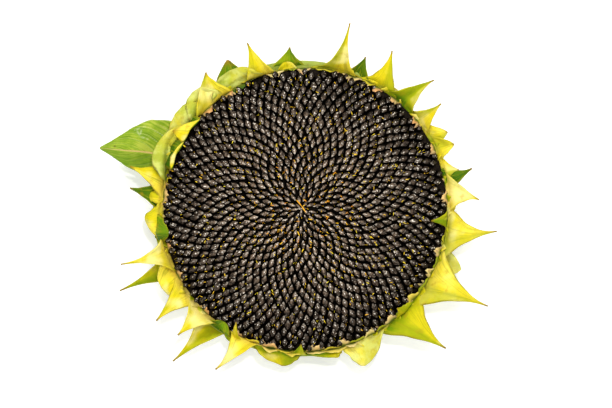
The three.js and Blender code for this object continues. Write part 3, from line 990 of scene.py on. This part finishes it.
def receptacle_ribs(radius, turn):
    """Relief of the back: broad ribs, with finer ones between them near the rim."""
    bent = turn + 0.03 * np.sin(5 * turn + 1) + 0.02 * np.sin(0.09 * radius + 3 * turn)
    broad = (0.5 + 0.5 * np.cos(RIB_COUNT * bent)) ** 1.6
    fine = 0.5 + 0.5 * np.cos(FINE_RIBS * (turn + 0.01 * np.sin(0.2 * radius + 7 * turn)))
    broad_height = RIB_HEIGHT * np.interp(radius, RIB_RADII, RISE_AND_FADE)
    fine_height = FINE_RIB_HEIGHT * np.interp(radius, FINE_RIB_RADII, RISE_AND_FADE)
    return broad_height * broad + fine_height * fine


def build_receptacle():
    turn = full_circle(RECEPTACLE_SIDES)
    flesh = Loft()
    profile = smooth_profile(RECEPTACLE_PROFILE, RECEPTACLE_STEPS)
    rings, ribs = [], []
    back = True
    for radius, height in profile:
        back = back and radius < RIM_RADIUS
        rib = receptacle_ribs(radius, turn) if back else 0 * turn
        rings.append(around_axis(max(radius, AXIS_RADIUS), turn, height - rib))
        ribs.append(rib)
    flesh.add(rings, edge=profile[:, 0] / RIM_RADIUS, rib=ribs)
    return flesh


def receptacle_paint():
    paint = Paint("receptacle_skin", 0.6, 0.3)
    edge, rib = paint.attributes("edge", "rib")
    patch = paint.noise(60, 4)
    fine = paint.noise(900)
    paint.start(paint.ramp(
        patch * 0.6 + edge * 0.35,
        (0.3, 0.46, 0.5, 0.14), (0.52, 0.42, 0.46, 0.06), (0.78, 0.2, 0.31, 0.02),
    ))
    paint.cover(rib.fade(0.1, 0.9, 0.5), (0.6, 0.6, 0.2))
    paint.cover(paint.noise(320, 2).fade(0.62, 0.7, 0.45), (0.26, 0.16, 0.04))
    paint.cover(fine * 0.35, (0.2, 0.24, 0.04))
    paint.bump(fine + patch, 0.0006, 0.7)
    return paint


receptacle = build_receptacle().piece("receptacle_flesh", receptacle_paint(), "bract")
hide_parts("receptacle")

# Stalk

STALK_SIDES = 120
STALK_STEPS = 10
STALK_RIDGES = 15
# The cut end: radius, height above the floor, height of its edge, and shares of its radius.
CUT_RADIUS = 17.3
CUT_HEIGHT = 0.02
CUT_EDGE = 0.3
CUT_SHARES = (0.02, 0.3, 0.62, 0.8, 0.92, 1)


def build_stalk():
    turn = full_circle(STALK_SIDES)
    ridges = 0.02 * np.sin(STALK_RIDGES * turn)
    uneven = 0.008 * np.sin(3 * turn + 1)
    stalk = Loft()
    rings, core = [], []
    for share in CUT_SHARES:
        rings.append(around_axis(CUT_RADIUS * share * (1 + ridges * share), turn, CUT_HEIGHT))
        core.append(1 - share)
    for radius, height in smooth_profile(STALK_PROFILE, STALK_STEPS):
        rings.append(around_axis(radius * (1 + ridges + uneven), turn, max(height, CUT_EDGE)))
        core.append(0)
    stalk.add(rings, core=core)
    stalk.flip()
    return stalk


def stalk_paint():
    paint = Paint("stalk_skin", 0.65, 0.3)
    (core,) = paint.attributes("core")
    fine = paint.noise(800, 4)
    patch = paint.noise(120)
    skin = paint.ramp(patch, (0.3, 0.22, 0.33, 0.06), (0.7, 0.4, 0.45, 0.12))
    pith = paint.ramp(fine, (0.3, 0.6, 0.58, 0.42), (0.7, 0.8, 0.78, 0.64))
    paint.start(paint.mix(core.fade(0.04, 0.22), skin, pith))
    paint.bump(fine, 0.0006, 0.6)
    return paint


stalk = build_stalk().piece("stalk_stub", stalk_paint(), "stem")
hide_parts("stalk")

# Stiff hairs on the stalk and on the back of the head

HAIR_RADIUS = 0.13
HAIR_DROOP = 0.12
HAIR_CORNERS = (0, FULL_TURN / 3, 2 * FULL_TURN / 3)
# Rings of a hair: share of its length, share of its radius.
HAIR_RINGS = [(-0.2, 1), (0.5, 0.6), (1, 0.08)]
# Any direction that no hair has, for the sides of a hair.
OFF_HAIR = (0.3, 0.5, 0.8)
# Hairs of the stalk: number, and ranges of height, rise and length.
STALK_HAIRS = 320
STALK_HEIGHTS = (2.2, 11.5)
STALK_RISES = (-0.3, 0.3)
STALK_LENGTHS = (0.9, 1.9)
# Hairs of the back: number, where they start, how wide their ring is, and ranges of lean and length.
BACK_HAIRS = 900
BACK_START = 25
BACK_RING = 55
BACK_LEANS = (-0.2, 0.7)
BACK_LENGTHS = (0.7, 1.4)
BACK_PROFILE = RECEPTACLE_PROFILE[:6]


def add_hair(hairs, root, direction, length):
    direction = direction / np.linalg.norm(direction)
    side = np.cross(direction, OFF_HAIR)
    side /= np.linalg.norm(side)
    other = np.cross(direction, side)
    rings = []
    for share, scale in HAIR_RINGS:
        middle = root + direction * (length * share) - UP * (HAIR_DROOP * length * max(share, 0) ** 2)
        radius = HAIR_RADIUS * scale
        rings.append([middle + radius * (side * math.cos(t) + other * math.sin(t)) for t in HAIR_CORNERS])
    hairs.add(rings, along=np.linspace(0, 1, len(rings)))


def build_hairs():
    hairs = Loft()
    reaches, heights = zip(*STALK_PROFILE)
    for _ in range(STALK_HAIRS):
        out, _ = outward(draw.uniform(0, FULL_TURN))
        height = between(STALK_HEIGHTS)
        root = out * np.interp(height, heights, reaches) + UP * height
        add_hair(hairs, root, out + UP * between(STALK_RISES), between(STALK_LENGTHS))
    for _ in range(BACK_HAIRS):
        turn = draw.uniform(0, FULL_TURN)
        radius = BACK_START + BACK_RING * draw.random() ** 0.7
        out, _ = outward(turn)
        height = np.interp(radius, *zip(*BACK_PROFILE)) - receptacle_ribs(radius, turn)
        add_hair(hairs, out * radius + UP * height, out * between(BACK_LEANS) - UP, between(BACK_LENGTHS))
    return hairs


def hair_paint():
    paint = Paint("hair", 0.5, 0.3)
    (along,) = paint.attributes("along")
    paint.start(paint.mix(along, rgb(0.5, 0.54, 0.22), rgb(0.82, 0.8, 0.62)))
    paint.cover(paint.noise(600, 2) * 0.3, (0.5, 0.42, 0.2))
    return paint


build_hairs().piece("stalk_hairs", hair_paint(), "stem")

# Leaf

LEAF_ROWS = 170
LEAF_COLUMNS = 60
LEAF_LENGTH = 84
LEAF_STEP = 0.004
LEAF_TEETH = 8
TOOTH_DEPTH = 0.02
LEAF_WAVE = 0.7
# Side veins: place along the midrib, strength.
LEAF_VEINS = [
    (0, 1), (0.1, 0.8), (0.2, 0.75), (0.3, 0.7), (0.41, 0.6), (0.53, 0.55), (0.66, 0.45), (0.79, 0.4),
]
VEIN_FORWARD = 0.42
VEIN_BEND = 1.15
VEIN_WIDTH = 0.42
# Half width of the midrib at its tip, and how much wider it is at the foot of the blade.
MIDRIB_WIDTH = 0.3
MIDRIB_WIDENING = 0.55
# How far the veins sink into the upper face and stand out from the lower one.
VEIN_SINK = 0.27
VEIN_RAISE = 0.5
# Marks on the leaf: pale scratches from point to point, and a brown spot.
LEAF_SCRATCHES = [
    ((-105.4, 50.7), (-103.3, 46.3)), ((-102.9, 47.6), (-101.8, 51.8)),
    ((-106.4, 50.2), (-99.4, 52.7)), ((-103.3, 46.2), (-98.2, 44.4)),
]
SCRATCH_WIDTH = 0.42
LEAF_SPOT = (-119.2, 39.8)
SPOT_WIDTH = 0.9


def bell(distance, width):
    return np.exp(-((distance / width) ** 2))


def midrib(share):
    return catmull([outward(math.radians(a))[0] * r + UP * z for r, a, z in LEAF_MIDRIB], share)


def midrib_side(share, step):
    """Level direction across the midrib."""
    ahead = midrib(min(1, share + step)) - midrib(max(0, share - step))
    side = np.array([-ahead[1], ahead[0], 0])
    return side / np.linalg.norm(side)


def leaf_vein(along, across, half):
    """How much a point of the blade lies on a vein, from 0 to 1."""
    out = np.abs(across)
    found = bell(half * out, MIDRIB_WIDTH + MIDRIB_WIDENING * (1 - along))
    rise = VEIN_FORWARD * VEIN_BEND * out ** (VEIN_BEND - 1) * LEAF_LENGTH / np.maximum(half, 1)
    for start, weight in LEAF_VEINS:
        gap = np.abs(along - start - VEIN_FORWARD * out**VEIN_BEND) * LEAF_LENGTH / np.sqrt(1 + rise**2)
        found = np.maximum(found, weight * bell(gap, VEIN_WIDTH) * (1 - out**6))
    return found


def leaf_scratch(place):
    """How much points of the blade lie on a scratch, from 0 to 1."""
    nearest = np.full(len(place), np.inf)
    for start, end in LEAF_SCRATCHES:
        line = np.subtract(end, start)
        way = place - start
        share = np.clip(way @ line / (line @ line), 0, 1)
        nearest = np.minimum(nearest, np.linalg.norm(way - np.outer(share, line), axis=1))
    return bell(nearest, SCRATCH_WIDTH)


def build_leaf():
    leaf = Loft()
    across, side, thickness = blade_section(LEAF_COLUMNS, LEAF_THICKNESS)
    full_width = np.where(across < 0, LEAF_ABOVE, LEAF_BELOW)
    fall = np.where(across < 0, LEAF_RISE, LEAF_FALL)
    relief = np.where(side > 0, VEIN_SINK, VEIN_RAISE)
    rings, veins, scratches, spots = [], [], [], []
    shares = np.linspace(0, 1, LEAF_ROWS + 1)
    for share in shares:
        at = LEAF_START + (1 - LEAF_START) * share
        tooth = TOOTH_DEPTH * (1 - abs(share * LEAF_TEETH % 1 * 2 - 1)) ** 2
        width = full_width * np.interp(share, *zip(*LEAF_OUTLINE)) * (1 - tooth)
        offset = across * width
        vein = leaf_vein(share, across, width)
        wave = LEAF_WAVE * np.sin(11 * share + 2.5 * across) * across**2 * math.sin(math.pi * share)
        place = midrib(at) + np.outer(offset, midrib_side(at, LEAF_STEP))
        place[:, 2] += wave + thickness - fall * offset - relief * vein
        rings.append(place)
        veins.append(vein)
        scratches.append(leaf_scratch(place[:, :2]))
        spots.append(bell(np.linalg.norm(place[:, :2] - LEAF_SPOT, axis=1), SPOT_WIDTH))
    leaf.add(rings, along=shares, across=across[None, :], vein=veins, scratch=scratches, spot=spots)
    return leaf


def leaf_paint():
    paint = Paint("leaf_skin", 0.45, 0.12)
    along, across, vein, scratch, spot = paint.attributes("along", "across", "vein", "scratch", "spot")
    out = abs(across)
    patch = paint.noise(90, 4)
    fine = paint.noise(1000, 4)
    streak = paint.noise(1, 3, paint.stretched((along * 2.4 - out, 16), (across, 3)))
    paint.start(paint.ramp(
        patch * 0.45 + streak * 0.55,
        (0.38, 0.12, 0.24, 0.004), (0.5, 0.25, 0.37, 0.012), (0.6, 0.44, 0.5, 0.05),
    ))
    paint.cover(fine * 0.25, (0.12, 0.2, 0.015))
    # Painted shade: the lower half, which falls away from the midrib, is darker.
    paint.cover(across.fade(0, 0.2, 0.42, 0.06), (0.1, 0.2, 0.01))
    # Veins, fainter on the lower half and outwards, then marks, midrib and edge.
    pale = vein.fade(0.2, 0.8, 0.95) * across.fade(-0.04, 0.06, 0.25, 1)
    paint.cover(pale * along.fade(0.3, 0.8, 0.3, 1), (0.66, 0.64, 0.34))
    paint.cover(scratch * paint.noise(420, 2).fade(0.42, 0.6, 0.42, 0.06), (0.7, 0.74, 0.46))
    paint.cover(spot.fade(0.3, 0.8, 0.8), (0.14, 0.13, 0.01))
    paint.cover(out.fade(0.015, 0.05, 0, 0.7), (0.66, 0.42, 0.14))
    paint.cover(out.fade(0.95, 1, 0.5), (0.5, 0.55, 0.12))
    paint.bump(fine + streak, 0.0005, 0.6)
    return paint


leaf = build_leaf().piece("leaf_blade", leaf_paint(), "leaf")
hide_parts("leaf")

PETIOLE_SIDES = 20
PETIOLE_ROWS = 40
PETIOLE_REACH = 0.97
PETIOLE_STEP = 0.01
# Radius at the stalk and at the tip of the leaf, and how far the petiole lies below the midrib.
PETIOLE_RADII = (2.3, 0.4)
PETIOLE_SINK = 0.55
RADIUS_SINK = 0.35


def build_petiole():
    petiole = Loft()
    turn = full_circle(PETIOLE_SIDES)
    groove = 1 - 0.22 * bell(turn - math.pi / 2, 0.5)
    shares = np.linspace(0, 1, PETIOLE_ROWS + 1)
    rings = []
    for share in shares:
        at = PETIOLE_REACH * share
        radius = np.interp(share, (0, 1), PETIOLE_RADII)
        height = np.sin(turn) * radius * groove - PETIOLE_SINK - RADIUS_SINK * radius
        sideways = np.outer(np.cos(turn) * radius, midrib_side(at, PETIOLE_STEP))
        rings.append(midrib(at) + sideways + np.outer(height, UP))
    petiole.add(rings, along=shares)
    petiole.flip()
    return petiole


def petiole_paint():
    paint = Paint("petiole_skin", 0.55, 0.35)
    (along,) = paint.attributes("along")
    fine = paint.noise(700)
    paint.start(paint.mix(along, rgb(0.4, 0.46, 0.12), rgb(0.62, 0.6, 0.3)))
    paint.cover(fine * 0.35, (0.3, 0.2, 0.08))
    paint.bump(fine, 0.0004, 0.5)
    return paint


build_petiole().piece("leaf_petiole", petiole_paint(), "leaf")

# Studio: pale floor, soft light and the camera straight above, in metres

FLOOR_SIZE = 6
FLOOR_GREY = 0.93
FLOOR_GLOW = 0.24
SKY_STRENGTH = 0.42
# Lights: name, place, size, power; and a ring of like fills.
LIGHTS = [("key", (0, 1.2, 1.4), 0.5, 17), ("spark", (0.12, 0.3, 1.9), 0.07, 9)]
FILL_ANGLES = (162, 234, 306, 18)
FILL_REACH = 1.2
FILL_RISE = 1.4
FILL_SIZE = 0.5
FILL_POWER = 5.5
# The photo's size, and its pixel at the middle of the seed spirals.
FRAME_WIDTH = 612
FRAME_HEIGHT = 408
CENTRE_PIXEL = (301, 208.5)
MM_PER_PIXEL = 0.636
SENSOR_WIDTH = 36
CAMERA_RISE = 2.4
FOCUS_HEIGHT = 0.038

bpy.ops.mesh.primitive_plane_add(size=FLOOR_SIZE)
floor = bpy.context.object
floor.name = "floor"
floor_paint = Paint("floor_paint", 0.9, 0.1)
floor_paint.start(rgb(FLOOR_GREY, FLOOR_GREY, FLOOR_GREY))
floor_paint.set("Emission Color", rgb(1, 1, 1))
floor_paint.set("Emission Strength", FLOOR_GLOW)
floor.data.materials.append(floor_paint.material)

world = bpy.data.worlds.new("studio")
world.use_nodes = True
sky = world.node_tree.nodes["Background"].inputs
sky["Color"].default_value = rgb(1, 1, 1)
sky["Strength"].default_value = SKY_STRENGTH
bpy.context.scene.world = world


def soft_light(name, place, size, power):
    lamp = bpy.data.lights.new(name, "AREA")
    lamp.shape = "DISK"
    lamp.size = size
    lamp.energy = power
    made = bpy.data.objects.new(name, lamp)
    made.location = place
    aim = -made.location.normalized()
    made.rotation_euler = aim.to_track_quat("-Z", "Y").to_euler()
    bpy.context.scene.collection.objects.link(made)


for light in LIGHTS:
    soft_light(*light)
for number, degrees in enumerate(FILL_ANGLES):
    place = FILL_REACH * outward(math.radians(degrees))[0] + FILL_RISE * UP
    soft_light(f"fill_{number}", place, FILL_SIZE, FILL_POWER)

camera_data = bpy.data.cameras.new("camera")
camera_data.sensor_width = SENSOR_WIDTH
camera_data.lens = SENSOR_WIDTH * (CAMERA_RISE - FOCUS_HEIGHT) / (FRAME_WIDTH * MM_PER_PIXEL * MM)
camera = bpy.data.objects.new("camera", camera_data)
camera.location = (
    (FRAME_WIDTH / 2 - CENTRE_PIXEL[0]) * MM_PER_PIXEL * MM,
    (CENTRE_PIXEL[1] - FRAME_HEIGHT / 2) * MM_PER_PIXEL * MM,
    CAMERA_RISE,
)
bpy.context.scene.collection.objects.link(camera)
bpy.context.scene.camera = camera
bpy.context.scene.view_settings.view_transform = "Standard"

bpy.context.view_layer.update()
